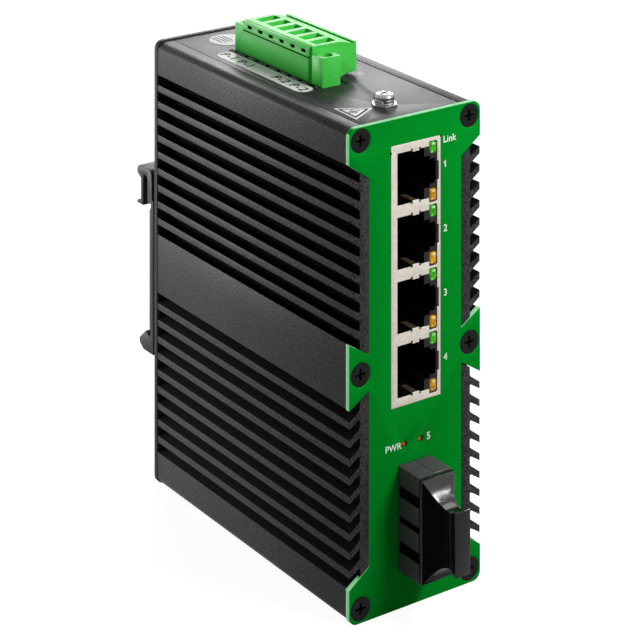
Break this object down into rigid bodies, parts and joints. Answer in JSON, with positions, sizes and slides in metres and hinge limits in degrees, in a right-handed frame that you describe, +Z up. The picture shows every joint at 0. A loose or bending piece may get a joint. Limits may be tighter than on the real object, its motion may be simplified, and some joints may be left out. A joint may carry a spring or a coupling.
{
  "type": "din rail ethernet switch",
  "caption": "Industrial Ethernet switch in a finned black case with a green front, copper ports, a capped fibre port, a plug-in power terminal and a rail clip.",
  "frame": {"origin": "middle of the case's bottom face, halfway between the faceplate's front and the rear plate's back", "axes": "+Z up, -Y towards the ports, +Y towards the rail, +X to the right seen from the ports"},
  "size_m": [0.036, 0.1062, 0.1146],
  "materials": {
    "black_powder_coat": "fine textured powder coat",
    "green_coat": "smooth satin paint",
    "black_steel": "satin black zinc",
    "clip_coat": "satin black anodised",
    "black_rubber": "matt",
    "bright_steel": "satin zinc",
    "spring_steel": "satin",
    "shield_tin": "tin plated, satin",
    "brass_part": "satin",
    "gold_contact": "gold flash",
    "board_green": "solder mask",
    "chip_black": "moulded epoxy",
    "pad_grey": "matt",
    "steel_can": "satin",
    "capacitor_sleeve": "sleeved",
    "jack_plastic": "moulded",
    "green_lens": "clear moulded",
    "amber_lens": "clear moulded",
    "fibre_plastic": "moulded",
    "ceramic_white": "polished ceramic",
    "cap_plastic": "glossy moulded",
    "lamp_orange": "clear moulded",
    "lamp_green": "clear moulded",
    "terminal_black": "moulded",
    "terminal_green": "moulded"
  },
  "bodies": {
    "root": {"amber_lamps": "amber_lens", "board_screws": "bright_steel", "board_standoffs": "brass_part", "bottom_cover": "black_powder_coat", "clamp_cages": "bright_steel", "clamp_screws": "bright_steel", "clip_nuts": "bright_steel", "clip_pad": "black_rubber", "clip_screws": "black_steel", "crystal": "steel_can", "din_clip": "clip_coat", "dust_plug": "cap_plastic", "ear_screws": "bright_steel", "faceplate": "green_coat", "faceplate_screws": "black_steel", "fibre_base": "fibre_plastic", "fibre_cover": "fibre_plastic", "fibre_ferrules": "ceramic_white", "fibre_pins": "bright_steel", "green_lamps": "green_lens", "ground_hex": "bright_steel", "ground_nut": "bright_steel", "ground_screw": "bright_steel", "ground_spring_washer": "bright_steel", "ground_washer": "bright_steel", "header_nuts": "brass_part", "header_pins": "bright_steel", "jack_body": "jack_plastic", "jack_contacts": "gold_contact", "jack_shield": "shield_tin", "lamp_holder": "terminal_black", "lan_transformers": "chip_black", "left_heatsink": "black_powder_coat", "link_lamp": "lamp_green", "main_board": "board_green", "power_capacitors": "capacitor_sleeve", "power_inductor": "chip_black", "power_lamp": "lamp_orange", "rail_spring": "spring_steel", "rear_plate": "black_powder_coat", "rear_plate_screws": "black_steel", "right_heatsink": "black_powder_coat", "switch_chip": "chip_black", "terminal_header": "terminal_black", "terminal_plug": "terminal_green", "thermal_pad": "pad_grey", "top_cover": "black_powder_coat"}
  },
  "joints": []
}
